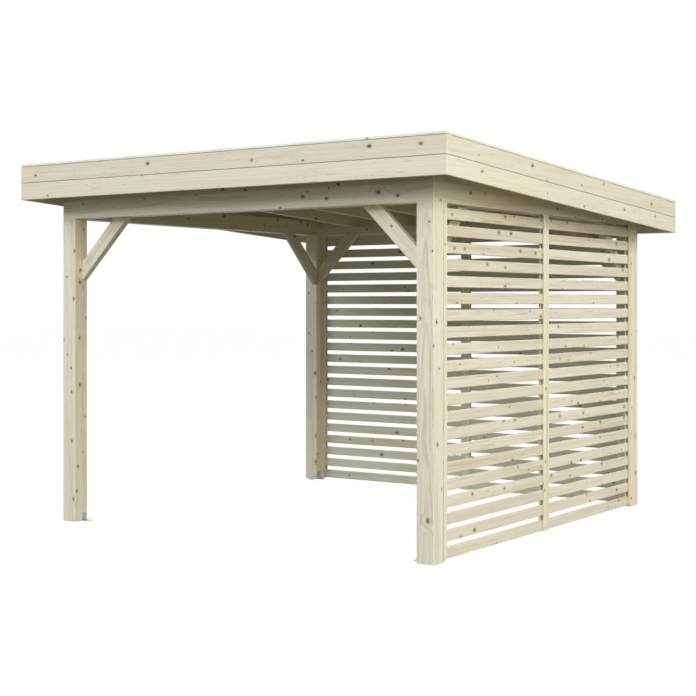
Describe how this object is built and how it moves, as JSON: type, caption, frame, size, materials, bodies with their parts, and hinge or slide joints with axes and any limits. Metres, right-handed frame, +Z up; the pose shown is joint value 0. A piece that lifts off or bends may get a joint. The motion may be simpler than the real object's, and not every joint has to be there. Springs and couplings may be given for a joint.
{
  "type": "wooden pergola",
  "caption": "Open timber pergola with a low mono-pitch roof behind a deep board fascia, knee braces at the posts and slatted walls on the right side and the back.",
  "frame": {"origin": "on the ground, under the middle of the roof's outline", "axes": "+Z up; -Y is the open front; +X is the slatted side; the roof falls towards +Y"},
  "size_m": [3.385, 3.394, 2.4534],
  "materials": {
    "frame_timber": "planed untreated spruce",
    "rafter_timber": "planed untreated spruce",
    "fascia_timber": "planed untreated spruce boards with eased edges",
    "roof_boards": "tongued and grooved spruce boards",
    "slat_timber": "planed untreated spruce slats",
    "roofing_felt": "mineral-faced bitumen felt",
    "galvanised_steel": "hot-dip galvanised"
  },
  "bodies": {
    "root": {"post_front_left": "frame_timber", "post_front_right": "frame_timber", "post_back_left": "frame_timber", "post_back_right": "frame_timber", "beam_front": "frame_timber", "plate_front": "frame_timber", "beam_back": "frame_timber", "beam_left": "frame_timber", "beam_right": "frame_timber", "rafter_1": "rafter_timber", "rafter_2": "rafter_timber", "rafter_3": "rafter_timber", "rafter_4": "rafter_timber", "rafter_5": "rafter_timber", "rafter_side_left": "rafter_timber", "rafter_side_right": "rafter_timber", "rafter_edge_left": "rafter_timber", "rafter_edge_right": "rafter_timber", "brace_front_left": "frame_timber", "brace_front_right": "frame_timber", "brace_back_left": "frame_timber", "brace_back_right": "frame_timber", "brace_left_front": "frame_timber", "brace_right_front": "frame_timber", "brace_left_back": "frame_timber", "brace_right_back": "frame_timber", "fascia_low_front": "fascia_timber", "fascia_low_back": "fascia_timber", "fascia_low_left": "fascia_timber", "fascia_low_right": "fascia_timber", "fascia_top_front": "fascia_timber", "fascia_top_back": "fascia_timber", "fascia_top_left": "fascia_timber", "fascia_top_right": "fascia_timber", "trim_front": "fascia_timber", "trim_back": "fascia_timber", "trim_left": "fascia_timber", "trim_right": "fascia_timber", "roof_deck": "roof_boards", "roof_felt": "roofing_felt", "panel_right_front": "slat_timber", "panel_right_back": "slat_timber", "panel_back_right": "slat_timber", "panel_back_left": "slat_timber", "anchors_front": "galvanised_steel", "anchors_back": "galvanised_steel"}
  },
  "joints": []
}
